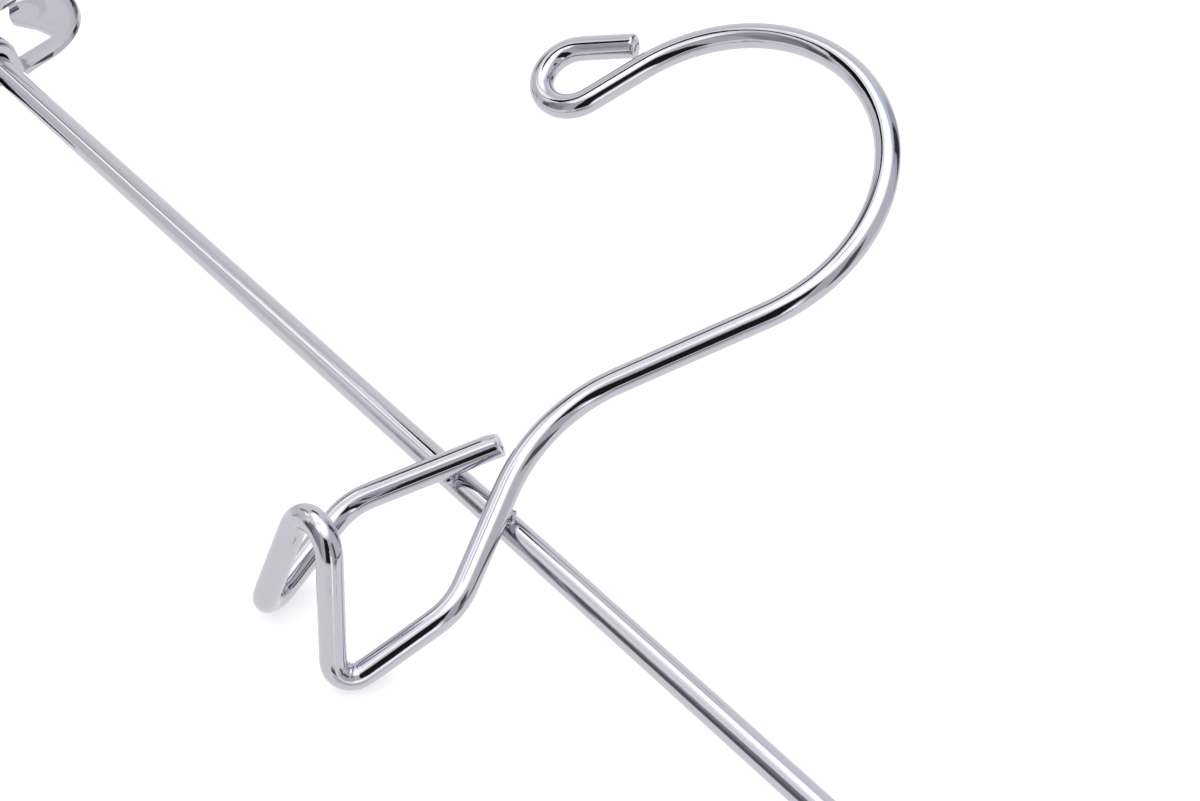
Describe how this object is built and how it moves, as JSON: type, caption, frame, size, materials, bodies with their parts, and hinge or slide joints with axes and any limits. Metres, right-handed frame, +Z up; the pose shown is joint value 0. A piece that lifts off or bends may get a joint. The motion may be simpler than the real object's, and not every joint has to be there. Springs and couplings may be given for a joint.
{
  "type": "stackable clip hanger",
  "caption": "Chrome wire clothes hanger: a straight bar with a welded hook, a forward loop below the bar that takes the next hanger's hook, and sliding sprung clips for skirts and trousers.",
  "frame": {"origin": "inside top of the hook, in the middle of the wire's thickness, where a rail carries the hanger", "axes": "+X along the bar, away from the hook's curled tip; +Z up; -Y towards the front, where the loop for the next hanger points"},
  "size_m": [0.3548, 0.0349, 0.1178],
  "materials": {
    "chrome": "bright chrome plate on steel",
    "spring_steel": "plated spring wire",
    "vinyl": "soft matte vinyl"
  },
  "bodies": {
    "frame": {"cross_bar": "chrome", "hook_wire": "chrome", "weld_tail": "chrome", "weld_shank": "chrome", "left_end_cap": "chrome", "right_end_cap": "chrome"},
    "left_slider": {"left_pivot_tube": "chrome"},
    "left_rear": {"left_rear_plate": "chrome", "left_rear_pad": "vinyl", "left_spring": "spring_steel"},
    "left_front": {"left_front_plate": "chrome", "left_front_pad": "vinyl"},
    "right_slider": {"right_pivot_tube": "chrome"},
    "right_rear": {"right_rear_plate": "chrome", "right_rear_pad": "vinyl", "right_spring": "spring_steel"},
    "right_front": {"right_front_plate": "chrome", "right_front_pad": "vinyl"}
  },
  "joints": [
    {"name": "left_slide", "type": "slide", "parent": "frame", "child": "left_slider", "axis": [1, 0, 0], "range_m": [-0.0025, 0.118]},
    {"name": "left_swing", "type": "hinge", "parent": "left_slider", "child": "left_rear", "pos_m": [-0.1437, 0.00405, -0.0811], "axis": [1, 0, 0], "continuous": true},
    {"name": "left_open", "type": "hinge", "parent": "left_rear", "child": "left_front", "pos_m": [-0.1437, 0.00405, -0.0811], "axis": [-1, 0, 0], "range_deg": [0, 32], "stiffness_Nm_per_rad": 0.2, "springref_deg": -42.97, "deforming": ["left_spring"]},
    {"name": "right_slide", "type": "slide", "parent": "frame", "child": "right_slider", "axis": [-1, 0, 0], "range_m": [-0.0025, 0.118]},
    {"name": "right_swing", "type": "hinge", "parent": "right_slider", "child": "right_rear", "pos_m": [0.1589, 0.00405, -0.0811], "axis": [1, 0, 0], "continuous": true},
    {"name": "right_open", "type": "hinge", "parent": "right_rear", "child": "right_front", "pos_m": [0.1589, 0.00405, -0.0811], "axis": [-1, 0, 0], "range_deg": [0, 32], "stiffness_Nm_per_rad": 0.2, "springref_deg": -42.97, "deforming": ["right_spring"]}
  ]
}
